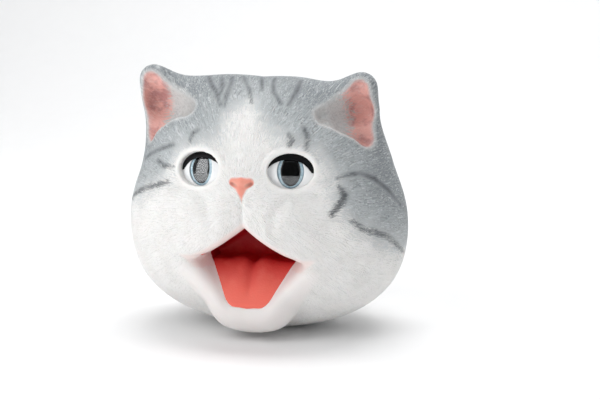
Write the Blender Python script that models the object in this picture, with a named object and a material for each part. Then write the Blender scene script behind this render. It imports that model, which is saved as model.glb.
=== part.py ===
"""Soft rubber cat-head hand puppet with an opening mouth.

The head is one hollow moulding that a hand wears like a mitten: four fingers go
over the palate and the thumb goes into the jaw. The jaw flexes about a line
through the corners of the mouth. The glass-like eyes are separate inserts, each
held by a stem and a washer behind the skin.

Forms are described by distance functions in millimetres (FORM units) and made
into meshes in metres. +Z is up, the face looks along -Y and +X is the cat's left.
The origin is on the ground under the middle of the head's box.
"""
import math

import bmesh
import bpy
import numpy as np
from mathutils import Matrix, Vector

MM = 0.001

# Driving dimensions, in millimetres
WALL = 3.0            # thickness of the moulded skin
GAP = 0.4             # clearance between pieces that touch
LINING = 2.0          # thickness of the palate lining
TONGUE_PLATE = 3.6    # thickness of the mouth's floor, measured upright
NECK_PLANE = 62.0     # where the neck collar is trimmed off flat
NECK_RADIUS = 43.0    # outside radius of the neck collar
NECK_HEIGHT = 56.0    # height of the neck collar's axis
BASE_PLANE = 0.0      # flat patch under the head
BOX_MIDDLE_Y = 3.6    # middle of the forms' depth, which is brought to the origin
HINGE_Y = -22.0       # flexing line through the corners of the mouth
HINGE_Z = 44.0
JAW_CLOSED = -24.0    # degrees about +X from the modelled open mouth
JAW_WIDE = 8.0
JAW_CLEARANCE = 1.5
ARM_RADIUS = 8.5      # rounded corner of the mouth, coaxial with the flexing line
LIP_Y = -45.0         # front edge of the tongue
LIP_Z = 20.5
FLOOR_SLOPE = 1.6     # rise of the tongue per millimetre towards the throat
FLOOR_TOP = 43.5      # height at which the mouth's floor levels off in the throat
MOUTH_BACK = -12.5
EYE_HALF_WIDTH = 12.5
EYE_HALF_HEIGHT = 9.6
EYE_DOME = 2.6
EYE_X = 24.4
EYE_Y = -44.9
EYE_Z = 95.4
EYE_YAW = 13.0        # degrees each eye looks outwards
EYE_PITCH = 9.0       # degrees each eye looks up
IRIS_HALF_WIDTH = 7.0
IRIS_HALF_HEIGHT = 8.4


# ---------------------------------------------------------------- distance forms

def ellipsoid(p, centre, radii):
    """Distance to an ellipsoid, good near its surface."""
    q = p - np.array(centre, float)
    r = np.array(radii, float)
    k = np.linalg.norm(q / r, axis=-1)
    g = np.linalg.norm(q / (r * r), axis=-1)
    return k * (k - 1.0) / np.maximum(g, 1e-9)


def capsule(p, start, end, start_radius, end_radius):
    """Distance to a rounded bar that tapers from one radius to another."""
    a = np.array(start, float)
    along = np.array(end, float) - a
    t = np.clip((p - a) @ along / (along @ along), 0.0, 1.0)
    nearest = a + t[..., None] * along
    radius = start_radius + (end_radius - start_radius) * t
    return np.linalg.norm(p - nearest, axis=-1) - radius


def join(a, b, blend):
    """Union of two forms with a soft fillet of about the blend's size."""
    h = np.maximum(blend - np.abs(a - b), 0.0) / blend
    return np.minimum(a, b) - h * h * blend * 0.25


def mirrored(p):
    """The same point on the cat's left half."""
    q = p.copy()
    q[..., 0] = np.abs(q[..., 0])
    return q


def crown_lean(p):
    """The soft crown leans slightly to the cat's right, its right ear a touch higher."""
    q = p.copy()
    t = np.clip((q[..., 2] - 96.0) / 45.0, 0.0, 1.0)
    t = t * t * (3.0 - 2.0 * t)
    q[..., 0] += 3.0 * t
    q[..., 2] += 0.034 * q[..., 0] * t
    return q


def skull(p):
    """Outside of the head without its ears: crown, cheeks, muzzle and neck collar."""
    q = mirrored(p)
    d = ellipsoid(q, (0, 3, 86), (65.5, 56, 58))
    d = join(d, ellipsoid(q, (27, 0, 99), (40, 44, 43)), 14)
    d = join(d, ellipsoid(q, (36, -1, 71), (43, 43, 36)), 14)
    d = join(d, ellipsoid(q, (34, 2, 50), (46, 45, 41)), 14)
    d = join(d, ellipsoid(q, (0, 4, 43), (62, 46, 45)), 14)
    d = join(d, ellipsoid(q, (16, -33, 65), (22, 20, 18)), 14)
    d = join(d, ellipsoid(q, (30, -28, 57), (17, 17, 15)), 10)
    d = join(d, ellipsoid(q, (0, -36, 84), (15, 12, 15)), 14)
    d = join(d, ellipsoid(q, (0, -46, 90), (5.5, 4, 4)), 4)
    round_neck = np.hypot(p[..., 0], p[..., 2] - NECK_HEIGHT) - NECK_RADIUS
    collar = np.maximum(round_neck, np.abs(p[..., 1] - 55.0) - 40.0)
    return join(d, collar, 14)


def ear(q):
    """One ear: a broad root leaning out and forwards, and a blunt upright edge."""
    root = capsule(q, (40, 2, 114), (54, -11, 131), 20, 12)
    edge = capsule(q, (57, -5, 100), (60, -14, 141), 11, 6.5)
    slope_in = capsule(q, (60, -14, 141), (30, -8, 127), 6.5, 11)
    return join(join(root, edge, 8), slope_in, 6)


def ear_dish(q):
    """The triangular dish in the front of an ear."""
    inner = capsule(q, (35, -34, 126.5), (59, -23.5, 139.5), 4.0, 4.5)
    outer = capsule(q, (61, -22, 114.5), (59, -23.5, 139.5), 4.5, 4.5)
    foot = capsule(q, (36, -35, 125), (61, -22, 114.5), 4.0, 4.5)
    bowl = capsule(q, (50, -28, 126), (57, -20, 128), 8.0, 7.5)
    return join(join(join(inner, outer, 5), foot, 5), bowl, 8)


def head_outside(p):
    q = crown_lean(p)
    return join(skull(q), ear(mirrored(q)), 10)


def head_inside(p):
    """Inside of the skull, kept a wall's thickness behind the ears' dishes."""
    q = crown_lean(p)
    return np.maximum(skull(q), -ear_dish(mirrored(q)))


def dish_outside(p):
    return ear_dish(mirrored(crown_lean(p)))


def jaw_form(p):
    """The whole jaw before it is hollowed: chin, two sides and two rounded corners."""
    q = mirrored(p)
    d = ellipsoid(q, (0, -27.5, 22.5), (20, 16.5, 17.5))
    d = join(d, capsule(q, (10, -32, 20), (34.5, -31, 41.5), 12, 9), 10)
    d = join(d, capsule(q, (0, -31.5, 18), (10, -32, 20), 12.5, 12), 8)
    corner = np.hypot(q[..., 1] - HINGE_Y, q[..., 2] - HINGE_Z) - ARM_RADIUS
    corner = np.maximum(corner, np.abs(q[..., 0] - 31.5) - 8.0)
    return join(d, corner, 2)


def turn_about_hinge(p, degrees):
    """Points turned about the flexing line, which runs along X."""
    c = math.cos(math.radians(degrees))
    s = math.sin(math.radians(degrees))
    y = p[..., 1] - HINGE_Y
    z = p[..., 2] - HINGE_Z
    q = p.copy()
    q[..., 1] = HINGE_Y + c * y - s * z
    q[..., 2] = HINGE_Z + s * y + c * z
    return q


def jaw_sweep(p):
    """Everything the jaw passes through between shut and widest open."""
    turns = np.linspace(JAW_CLOSED, JAW_WIDE, 9)
    return np.min([jaw_form(turn_about_hinge(p, -turn)) for turn in turns], axis=0)


def thumb_form(p):
    """The pocket that the thumb goes into."""
    return capsule(p, (0, -28, 17), (0, 4, 24), 9.5, 11.5)


# ---------------------------------------------------------------- mesh helpers

def link(name, bm, origin=(0.0, 0.0, 0.0)):
    """Make an object from a bmesh in millimetres, with its origin at a point in metres."""
    bmesh.ops.recalc_face_normals(bm, faces=bm.faces)
    bmesh.ops.transform(bm, matrix=Matrix.Scale(MM, 4), verts=bm.verts)
    bmesh.ops.translate(bm, vec=-Vector(origin), verts=bm.verts)
    mesh = bpy.data.meshes.new(name)
    bm.to_mesh(mesh)
    bm.free()
    obj = bpy.data.objects.new(name, mesh)
    obj.location = origin
    bpy.context.scene.collection.objects.link(obj)
    return obj


def rayed(name, field, centre, level, subdivisions, origin=(0.0, 0.0, 0.0)):
    """Closed body: an icosphere whose points are pushed out to the form's surface."""
    bm = bmesh.new()
    bmesh.ops.create_icosphere(bm, subdivisions=subdivisions, radius=1.0)
    rays = np.array([v.co[:] for v in bm.verts])
    middle = np.array(centre, float)
    steps = np.linspace(125.0, 0.0, 126)
    samples = middle + rays[:, None, :] * steps[None, :, None]
    inside = field(samples) < level
    first = inside.argmax(axis=1)
    near = steps[first]
    far = steps[np.maximum(first - 1, 0)]
    for _ in range(24):
        half = (near + far) / 2.0
        inner = field(middle + rays * half[:, None]) < level
        near = np.where(inner, half, near)
        far = np.where(inner, far, half)
    for vert, ray, reach in zip(bm.verts, rays, near):
        vert.co = middle + ray * reach
    return link(name, bm, origin)


def block(name, low, high):
    """Rectangular cutter between two corners, in millimetres."""
    bm = bmesh.new()
    bmesh.ops.create_cube(bm, size=1.0)
    size = Vector(high) - Vector(low)
    bmesh.ops.scale(bm, vec=size, verts=bm.verts)
    bmesh.ops.translate(bm, vec=(Vector(high) + Vector(low)) / 2.0, verts=bm.verts)
    return link(name, bm)


def bridged(name, rings, origin=(0.0, 0.0, 0.0), loop=False, place=None):
    """Solid skinned over rings of points; the ends are filled unless the rings loop."""
    bm = bmesh.new()
    rows = [[bm.verts.new(point) for point in ring] for ring in rings]
    pairs = list(zip(rows, rows[1:]))
    if loop:
        pairs.append((rows[-1], rows[0]))
    for lower, upper in pairs:
        count = max(len(lower), len(upper))
        for i in range(count):
            j = (i + 1) % count
            corners = [lower[i % len(lower)], lower[j % len(lower)]]
            corners += [upper[j % len(upper)], upper[i % len(upper)]]
            corners = [v for k, v in enumerate(corners) if v not in corners[:k]]
            bm.faces.new(corners)
    if not loop:
        for row in (rows[0], rows[-1]):
            if len(row) > 2:
                bm.faces.new(row)
    if place is not None:
        bmesh.ops.transform(bm, matrix=place, verts=bm.verts)
    return link(name, bm, origin)


def corner_room(name, side):
    """Cutter that gives a rounded corner of the jaw room to turn."""
    radius = ARM_RADIUS + JAW_CLEARANCE
    rings = []
    for x in (21.5, 41.3):
        turns = [2.0 * math.pi * i / 32 for i in range(32)]
        rings.append([(side * x, HINGE_Y + radius * math.cos(t),
                       HINGE_Z + radius * math.sin(t)) for t in turns])
    return bridged(name, rings)


def cut(obj, cutter, operation="DIFFERENCE"):
    """Boolean against a cutter that stays out of the model."""
    cutter.hide_render = True
    cutter.display_type = "WIRE"
    modifier = obj.modifiers.new(cutter.name, "BOOLEAN")
    modifier.operation = operation
    modifier.solver = "EXACT"
    modifier.object = cutter


def settle(obj):
    """Keep the result of an object's Booleans as its own clean mesh."""
    view = bpy.context.evaluated_depsgraph_get()
    mesh = bpy.data.meshes.new_from_object(obj.evaluated_get(view))
    obj.modifiers.clear()
    bm = bmesh.new()
    bm.from_mesh(mesh)
    bmesh.ops.remove_doubles(bm, verts=bm.verts, dist=0.00002)
    bmesh.ops.dissolve_degenerate(bm, edges=bm.edges, dist=0.00001)
    bmesh.ops.triangulate(bm, faces=bm.faces)
    bm.to_mesh(mesh)
    bm.free()
    mesh.name = obj.name
    obj.data = mesh


def finish(obj, colour, roughness, metallic=0.0, transmission=0.0):
    """Give an object its own material and smooth shading with crisp edges."""
    material = bpy.data.materials.new(obj.name)
    material.use_nodes = True
    shader = material.node_tree.nodes["Principled BSDF"]
    shader.inputs["Base Color"].default_value = (*colour, 1.0)
    shader.inputs["Roughness"].default_value = roughness
    shader.inputs["Metallic"].default_value = metallic
    shader.inputs["Transmission Weight"].default_value = transmission
    obj.data.materials.clear()
    obj.data.materials.append(material)
    obj.data.shade_smooth()
    obj.data.set_sharp_from_angle(angle=math.radians(40.0))


# ---------------------------------------------------------------- mouth

def floor_height(y):
    """Height of the tongue's surface at a depth."""
    return min(LIP_Z + (y - LIP_Y) * FLOOR_SLOPE, FLOOR_TOP)


def floor_depths(front, back):
    """Stations along the floor, one of them where it levels off."""
    level = LIP_Y + (FLOOR_TOP - LIP_Z) / FLOOR_SLOPE
    ahead, behind = np.linspace(front, level, 6), np.linspace(level, back, 5)
    return [*ahead, *behind[1:]]


def mouth_half_width(z):
    return max(10.4 + (z - 20.0) * 0.57, 3.0)


def roof_height(x, y):
    """Height of the palate: a peak under the nose that falls to each side and back."""
    side = max(0.0, 1.0 - abs(x) / 32.0)
    return 45.5 + 19.5 * side ** 1.3 - 0.02 * (y + 50.0)


def mouth_section(y, grow, sink):
    """Outline of the mouth's hollow at one depth, grown outwards by some millimetres."""
    bottom = floor_height(y) - sink
    low = mouth_half_width(bottom) + grow
    high = 29.0 + grow
    points = [(x, y, bottom) for x in np.linspace(-low, low, 7)]
    top_side = roof_height(high, y) + grow
    points.append(((low + high) / 2.0, y, (bottom + top_side) / 2.0))
    points += [(x, y, roof_height(x, y) + grow) for x in np.linspace(high, -high, 15)]
    points.append((-(low + high) / 2.0, y, (bottom + top_side) / 2.0))
    return points


def mouth_hollow(name, grow=0.0, sink=0.0, front=-62.0, back=MOUTH_BACK):
    return bridged(name, [mouth_section(y, grow, sink) for y in floor_depths(front, back)])


def floor_plate(name, top, bottom, inset, front, back, origin=(0.0, 0.0, 0.0)):
    """Slab that follows the tongue's slope, from one depth to another."""
    rings = []
    for y in floor_depths(front, back):
        z = floor_height(y)
        half = mouth_half_width(z) - inset
        across = np.linspace(-1.0, 1.0, 9)
        groove = [0.8 * math.exp(-(t * 4.0) ** 2) if top < 0 else 0.0 for t in across]
        upper = [(t * half, y, z + top - g) for t, g in zip(across, groove)]
        lower = [(t * half, y, z + bottom) for t in across[::-1]]
        rings.append(upper + lower)
    return bridged(name, rings, origin)


# ---------------------------------------------------------------- eyes

def eye_place(side):
    """Frame of one eye: x along its width, y up, z out of the face."""
    yaw = math.radians(EYE_YAW) * side
    pitch = math.radians(EYE_PITCH)
    out = Vector((math.sin(yaw) * math.cos(pitch), -math.cos(yaw) * math.cos(pitch),
                  math.sin(pitch)))
    across = Vector((math.cos(yaw), math.sin(yaw), 0.0))
    up = out.cross(across)
    turn = Matrix((across, up, out)).transposed().to_4x4()
    return Matrix.Translation((side * EYE_X, EYE_Y, EYE_Z)) @ turn


def eye_point(u, v, offset, follow):
    """Point of an eye piece; follow is 1 on the dome and 0 on a flat layer."""
    dome = 1.0 - (u / EYE_HALF_WIDTH) ** 2 - (v / EYE_HALF_HEIGHT) ** 2
    return (u, v, offset + follow * EYE_DOME * dome)


def eye_ring(half_width, half_height, offset, follow, count=36):
    if half_width == 0.0:
        return [eye_point(0.0, 0.0, offset, follow)]
    ring = []
    for i in range(count):
        a = 2.0 * math.pi * i / count
        ring.append(eye_point(half_width * math.cos(a), half_height * math.sin(a),
                              offset, follow))
    return ring


def eye_solid(name, side, profile, loop=False):
    rings = [eye_ring(*station) for station in profile]
    place = eye_place(side)
    return bridged(name, rings, place.translation * MM, loop, place)


def eye_white(name, side):
    """Domed insert with a pocket for the iris in front and a stem behind."""
    wide, tall = EYE_HALF_WIDTH, EYE_HALF_HEIGHT
    pocket_wide, pocket_tall = IRIS_HALF_WIDTH + 0.3, IRIS_HALF_HEIGHT + 0.3
    return eye_solid(name, side, [
        (0.0, 0.0, -2.2, 1), (pocket_wide, pocket_tall, -2.2, 1),
        (pocket_wide, pocket_tall, 0.0, 1), (wide, tall, 0.0, 1),
        (wide, tall, -3.5, 0), (4.0, 4.0, -3.5, 0), (4.0, 4.0, -9.0, 0),
        (0.0, 0.0, -9.0, 0)])


def iris(name, side):
    """Ring around the pupil, set in the eye's pocket."""
    wide, tall = IRIS_HALF_WIDTH, IRIS_HALF_HEIGHT
    return eye_solid(name, side, [
        (wide, tall, -1.9, 1), (wide, tall, -1.1, 1),
        (wide - 1.2, tall - 1.2, -1.1, 1), (wide - 1.2, tall - 1.2, -1.9, 1)], True)


def pupil(name, side):
    wide, tall = IRIS_HALF_WIDTH - 1.5, IRIS_HALF_HEIGHT - 1.5
    return eye_solid(name, side, [
        (0.0, 0.0, -1.9, 1), (wide, tall, -1.9, 1), (wide, tall, -1.0, 1),
        (0.0, 0.0, -1.0, 1)])


def cornea(name, side):
    """Clear cover over iris and pupil, flush with the eye's dome."""
    wide, tall = IRIS_HALF_WIDTH, IRIS_HALF_HEIGHT
    return eye_solid(name, side, [
        (0.0, 0.0, -0.7, 1), (wide, tall, -0.7, 1), (wide, tall, -0.05, 1),
        (0.0, 0.0, -0.05, 1)])


def eye_washer(name, side):
    """Retaining washer on the stem, against the inside of the skin."""
    return eye_solid(name, side, [
        (4.4, 4.4, -5.6, 0), (14.6, 12.2, -5.6, 0), (14.6, 12.2, -7.2, 0),
        (4.4, 4.4, -7.2, 0)], True)


def eyeliner(name, side):
    """Black crescent lash line lying over the upper edge of the eye."""
    rings = []
    for i in range(25):
        t = i / 24.0
        angle = math.radians(12.0 + 156.0 * t)
        width = 0.04 + 0.24 * math.sin(math.pi * t) ** 0.8
        section = []
        for reach, offset in ((0.98, 0.3), (0.98, 0.9), (0.98 - width, 0.9),
                              (0.98 - width, 0.3)):
            u = EYE_HALF_WIDTH * reach * math.cos(angle)
            v = EYE_HALF_HEIGHT * reach * math.sin(angle)
            section.append(eye_point(u, v, offset, 1))
        rings.append(section)
    place = eye_place(side)
    return bridged(name, rings, place.translation * MM, False, place)


def eye_hole(name, side, deep):
    """Cutter for the eye's opening, or for the washer's seat behind it."""
    if deep:
        profile = [(0.0, 0.0, -5.2, 0), (15.2, 12.8, -5.2, 0), (15.2, 12.8, -16.0, 0),
                   (0.0, 0.0, -16.0, 0)]
    else:
        wide, tall = EYE_HALF_WIDTH + GAP, EYE_HALF_HEIGHT + GAP
        profile = [(0.0, 0.0, 14.0, 0), (wide, tall, 14.0, 0), (wide, tall, -14.0, 0),
                   (0.0, 0.0, -14.0, 0)]
    return eye_solid(name, side, profile)


# ---------------------------------------------------------------- assembly

def build():
    for obj in list(bpy.data.objects):
        bpy.data.objects.remove(obj, do_unlink=True)
    hinge = (0.0, HINGE_Y * MM, HINGE_Z * MM)
    cutters = []

    def cutter(obj):
        cutters.append(obj)
        return obj

    behind_neck = cutter(block("trim_neck", (-90, NECK_PLANE, -20), (90, 110, 150)))
    under_base = cutter(block("trim_base", (-110, -110, -30), (110, 110, BASE_PLANE)))
    bay = cutter(rayed("jaw_bay", jaw_sweep, (0, -34, 30), JAW_CLEARANCE, 4))
    hollow = cutter(mouth_hollow("mouth_hollow"))
    rooms = [cutter(corner_room("corner_room_left", 1)),
             cutter(corner_room("corner_room_right", -1))]

    head = rayed("head_skin", head_outside, (0, 5, 75), 0.0, 5)
    cut(head, cutter(rayed("hand_hollow", head_inside, (0, 5, 75), -WALL, 4)))
    for side, label in ((1, "left"), (-1, "right")):
        dish_middle = (side * 54 - 2, -28, 122)
        cut(head, cutter(rayed("ear_dish_" + label, dish_outside, dish_middle, 0.0, 3)))
        cut(head, cutter(eye_hole("eye_hole_" + label, side, False)))
        cut(head, cutter(eye_hole("washer_seat_" + label, side, True)))
    for tool in (hollow, bay, *rooms, behind_neck, under_base):
        cut(head, tool)

    palate = mouth_hollow("palate_lining", LINING, -3.0, -60.0, MOUTH_BACK + LINING)
    within = cutter(rayed("within_skin", head_inside, (0, 5, 75), -WALL - GAP, 4))
    cut(palate, within, "INTERSECT")
    wide_bay = cutter(rayed("palate_bay", jaw_sweep, (0, -34, 30), JAW_CLEARANCE + 1.5, 4))
    for tool in (hollow, wide_bay, *rooms):
        cut(palate, tool)
    throat = block("throat_wall", (-30.0, MOUTH_BACK + 0.7, 36.0),
                   (30.0, MOUTH_BACK + LINING + 0.3, 55.0))
    cut(palate, cutter(throat), "UNION")

    jaw = rayed("jaw_skin", jaw_form, (0, -28, 24), 0.0, 4, hinge)
    cut(jaw, hollow)
    recess = cutter(floor_plate("tongue_recess", 3.0, -TONGUE_PLATE - 2 * GAP, 0.0, -42.0, -6.0))
    cut(jaw, recess)
    cut(jaw, cutter(rayed("thumb_hollow", thumb_form, (0, -12, 20), 0.0, 3)))

    tongue = floor_plate("tongue", -0.01, -TONGUE_PLATE, GAP, -41.6, -13.5, hinge)

    for obj in (head, palate, jaw):
        settle(obj)
    finish(head, (0.62, 0.63, 0.64), 0.75)
    finish(palate, (0.45, 0.02, 0.02), 0.5)
    finish(jaw, (0.80, 0.78, 0.76), 0.6)
    finish(tongue, (0.80, 0.12, 0.09), 0.5)

    for side, label in ((1, "left"), (-1, "right")):
        finish(eye_white("eye_white_" + label, side), (0.90, 0.90, 0.90), 0.08)
        finish(iris("iris_" + label, side), (0.45, 0.60, 0.75), 0.20)
        finish(pupil("pupil_" + label, side), (0.004, 0.004, 0.005), 0.06)
        finish(cornea("cornea_" + label, side), (1.0, 1.0, 1.0), 0.02, 0.0, 1.0)
        finish(eyeliner("eyeliner_" + label, side), (0.006, 0.006, 0.007), 0.35)
        finish(eye_washer("eye_washer_" + label, side), (0.75, 0.75, 0.73), 0.40)

    for tool in cutters:
        bpy.data.objects.remove(tool, do_unlink=True)
    for obj in bpy.data.objects:
        obj.location.y -= BOX_MIDDLE_Y * MM


build()
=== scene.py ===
"""Soft rubber cat-head hand puppet: the looks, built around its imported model.

Forms are distance functions in millimetres, in the CAD's own form space: +X is the
cat's left, the face looks along -Y, +Z is up. A form point becomes a point of the row
frame when its depth is moved by BOX_MIDDLE_Y and it is scaled to metres.
"""
import math

import bmesh
import bpy
import numpy as np
from mathutils import Matrix, Vector


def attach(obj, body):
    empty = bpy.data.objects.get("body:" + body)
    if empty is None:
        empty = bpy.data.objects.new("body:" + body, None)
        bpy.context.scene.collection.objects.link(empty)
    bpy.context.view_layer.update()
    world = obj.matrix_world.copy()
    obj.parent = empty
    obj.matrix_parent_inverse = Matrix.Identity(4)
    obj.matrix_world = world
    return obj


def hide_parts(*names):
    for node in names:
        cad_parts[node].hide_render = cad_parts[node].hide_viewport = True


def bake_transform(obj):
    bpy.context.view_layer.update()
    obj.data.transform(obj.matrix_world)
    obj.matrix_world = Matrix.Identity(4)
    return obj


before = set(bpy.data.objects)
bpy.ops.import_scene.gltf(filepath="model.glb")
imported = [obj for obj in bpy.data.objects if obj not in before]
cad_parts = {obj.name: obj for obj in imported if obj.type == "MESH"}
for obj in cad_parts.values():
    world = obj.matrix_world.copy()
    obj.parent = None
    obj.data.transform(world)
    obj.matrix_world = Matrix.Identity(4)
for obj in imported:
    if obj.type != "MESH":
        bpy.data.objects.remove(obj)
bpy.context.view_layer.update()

MM = 0.001
BOX_MIDDLE_Y = 3.6
WALL = 3.0
NECK_PLANE = 62.0                   # depth of the collar's flat rim
NECK_RADIUS = 43.0
NECK_HEIGHT = 56.0
HINGE_Y, HINGE_Z = -22.0, 44.0      # the jaw turns about a line from cheek to cheek
ARM_RADIUS = 8.5                    # of the jaw's round ends at that line
LIP_Y, LIP_Z = -45.0, 20.5
FLOOR_SLOPE = 1.6
FLOOR_TOP = 43.5
MOUTH_BACK = -12.5
EYE_WIDE, EYE_TALL, EYE_DOME = 12.5, 9.6, 2.6
IRIS_WIDE, IRIS_TALL = 6.9, 8.8
PUPIL_WIDE, PUPIL_TALL = 5.3, 7.7
EYE_X, EYE_Y, EYE_Z = 24.4, -44.9, 95.4
EYE_YAW, EYE_PITCH = 13.0, 9.0
HEAD_MIDDLE = (0.0, 8.0, 80.0)      # the coat's strokes run round this point
MM_PER_DEGREE = 1.22                # of the head's surface, seen from that point


# ---------------------------------------------------------------- distance forms

def ellipsoid(p, centre, radii):
    q = p - np.array(centre, np.float32)
    r = np.array(radii, np.float32)
    k = np.linalg.norm(q / r, axis=-1)
    g = np.linalg.norm(q / (r * r), axis=-1)
    return k * (k - 1.0) / np.maximum(g, 1e-9)


def capsule(p, start, end, start_radius, end_radius):
    a = np.array(start, np.float32)
    along = np.array(end, np.float32) - a
    t = np.clip((p - a) @ along / (along @ along), 0.0, 1.0)
    nearest = a + t[..., None] * along
    radius = start_radius + (end_radius - start_radius) * t
    return np.linalg.norm(p - nearest, axis=-1) - radius


def join(a, b, blend):
    h = np.maximum(blend - np.abs(a - b), 0.0) / blend
    return np.minimum(a, b) - h * h * blend * 0.25


def carve(a, b, blend):
    """Form a without form b, with a soft edge."""
    return -join(-a, b, blend)


def both(a, b, blend):
    """What two forms share, with a soft edge."""
    return -join(-a, -b, blend)


def ramp(low, high, value):
    """0 at low, 1 at high and smooth between them; low may be the larger."""
    t = np.clip((value - low) / (high - low), 0.0, 1.0)
    return t * t * (3.0 - 2.0 * t)


def mirrored(p):
    """The same points, all on the cat's left."""
    q = p.copy()
    q[..., 0] = np.abs(q[..., 0])
    return q


def crown_lean(p):
    """Undoes the small lean of the crown and ears to the cat's right."""
    q = p.copy()
    t = ramp(96.0, 141.0, q[..., 2])
    q[..., 0] += 3.0 * t
    q[..., 2] += 0.034 * q[..., 0] * t
    return q


def skull(p):
    q = mirrored(p)
    d = ellipsoid(q, (0, 3, 86), (65.5, 56, 58))
    d = join(d, ellipsoid(q, (27, 0, 99), (40, 44, 43)), 14)
    d = join(d, ellipsoid(q, (36, -1, 71), (43, 43, 36)), 14)
    d = join(d, ellipsoid(q, (34, 2, 50), (46, 45, 41)), 14)
    d = join(d, ellipsoid(q, (0, 4, 43), (62, 46, 45)), 14)
    d = join(d, ellipsoid(q, (16, -33, 65), (22, 20, 18)), 14)
    d = join(d, ellipsoid(q, (30, -28, 57), (17, 17, 15)), 10)
    d = join(d, ellipsoid(q, (0, -36, 84), (15, 12, 15)), 14)
    d = join(d, ellipsoid(q, (0, -46, 90), (5.5, 4, 4)), 4)
    round_neck = np.hypot(p[..., 0], p[..., 2] - NECK_HEIGHT) - NECK_RADIUS
    collar = np.maximum(round_neck, np.abs(p[..., 1] - 55.0) - 40.0)
    return join(d, collar, 14)


def ear(q):
    root = capsule(q, (40, 2, 114), (54, -11, 131), 20, 12)
    edge = capsule(q, (57, -5, 100), (60, -14, 141), 11, 6.5)
    slope_in = capsule(q, (60, -14, 141), (30, -8, 127), 6.5, 11)
    return join(join(root, edge, 8), slope_in, 6)


def ear_dish(p):
    """Hollow of both ears; the inner corners sit a little to the cat's left on each side."""
    q = mirrored(p)
    corner = ramp(62.0, 32.0, q[..., 0])
    q[..., 0] -= corner * np.where(p[..., 0] > 0.0, 6.0, -3.0)
    inner = capsule(q, (37, -31.5, 125.5), (59.5, -22.8, 140.0), 4.6, 4.6)
    outer = capsule(q, (61.5, -22, 113.5), (59.5, -23.5, 140.5), 4.5, 4.0)
    foot = capsule(q, (37, -32.5, 124.5), (61.5, -21.5, 113.5), 4.4, 4.6)
    bowl = capsule(q, (49, -24.5, 126), (57, -17, 128), 8.5, 8.5)
    return join(join(join(inner, outer, 4), foot, 4), bowl, 7)


def jaw_form(p):
    q = mirrored(p)
    d = ellipsoid(q, (0, -27.5, 22.5), (20, 16.5, 17.5))
    d = join(d, capsule(q, (10, -32, 20), (34.5, -34, 42), 12, 9.5), 10)
    d = join(d, capsule(q, (0, -31.5, 18), (10, -32, 20), 12.5, 12), 8)
    corner = np.hypot(q[..., 1] - HINGE_Y, q[..., 2] - HINGE_Z) - ARM_RADIUS
    return join(d, np.maximum(corner, np.abs(q[..., 0] - 31.5) - 8.0), 2)


def thumb_form(p):
    return capsule(p, (0, -28, 17), (0, 4, 24), 9.5, 11.5)


# ---------------------------------------------------------------- mouth

def tongue_height(p):
    """Height of the tongue: a slope up to the throat, two soft halves and a groove."""
    x, y = np.abs(p[..., 0]), p[..., 1]
    rise = LIP_Z + (y - LIP_Y) * FLOOR_SLOPE
    z = join(rise, np.full_like(rise, FLOOR_TOP), 5.0)
    inward = ramp(-44.0, -36.0, y)
    halves = 1.5 * np.exp(-((x - 7.0) / 5.0) ** 2) - 1.5 * np.exp(-(x / 2.4) ** 2)
    return z + inward * halves


def floor_width(p):
    """Half width of the red floor at a height."""
    return 10.4 + (p[..., 2] - 20.0) * 0.57


def mouth_side(p):
    """Smooth band beside the tongue: a bevel that opens out towards the cheeks."""
    height = np.minimum(p[..., 2], 47.0)
    ahead = np.maximum(LIP_Y + (height - LIP_Z) / FLOOR_SLOPE - p[..., 1], 0.0)
    return (np.abs(p[..., 0]) - floor_width(p) - 0.60 * ahead) * 0.75


def roof_height(p):
    side = np.clip(1.0 - np.abs(p[..., 0]) / 32.0, 0.0, 1.0)
    return 45.5 + 19.5 * side ** 1.3 - 0.02 * (p[..., 1] + 50.0)


def tongue_edge(p):
    """Front and sides of the red floor in plan, with rounded corners."""
    side = (np.abs(p[..., 0]) - floor_width(p)) * 0.82 - 0.6
    return both(side, (LIP_Y + 0.6) - p[..., 1], 4.0)


def mouth_room(p, sunk):
    """Room inside the mouth, left and right walls apart; sunk grows it."""
    floor = (tongue_height(p) - p[..., 2]) * 0.55 - sunk
    roof = (p[..., 2] - roof_height(p)) * 0.75 - sunk
    back = (p[..., 1] - MOUTH_BACK) - sunk
    return both(both(floor, back, 5.0), roof, 4.0)


def mouth_cut(p):
    """What the skin leaves free for the mouth; the tongue lies in a shallow bed."""
    bed = 0.7 - 0.9 * ramp(-0.4, 0.6, tongue_edge(p))
    return both(mouth_room(p, bed), mouth_side(p), 2.0)


def lining_form(p):
    """Red lining of the mouth: palate, throat and tongue in one."""
    shell = mouth_room(p, 0.0)
    d = np.maximum(np.maximum(-shell, shell - 1.7), tongue_edge(p))
    front = -48.5 + 0.09 * np.abs(p[..., 0])
    return np.maximum(d, front - p[..., 1])


# ---------------------------------------------------------------- eyes

def eye_axes(side):
    yaw, pitch = math.radians(EYE_YAW) * side, math.radians(EYE_PITCH)
    out = Vector((math.sin(yaw) * math.cos(pitch), -math.cos(yaw) * math.cos(pitch),
                  math.sin(pitch)))
    across = Vector((math.cos(yaw), math.sin(yaw), 0.0))
    return across, out.cross(across), out


def eye_local(p, side):
    """Coordinates in an eye's own frame: across, up and out."""
    axes = np.array([a[:] for a in eye_axes(side)], np.float32)
    return (p - np.array((side * EYE_X, EYE_Y, EYE_Z), np.float32)) @ axes.T


def oval(u, v, wide, tall):
    k = np.hypot(u / wide, v / tall)
    g = np.hypot(u / wide ** 2, v / tall ** 2)
    return k * (k - 1.0) / np.maximum(g, 1e-6)


def socket_rim(e):
    """Soft raised rim that the skin makes round an eye."""
    ring = np.hypot(oval(e[..., 0], e[..., 1], EYE_WIDE + 0.9, EYE_TALL + 0.9), e[..., 2] + 1.1)
    return ring - 1.35


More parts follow.
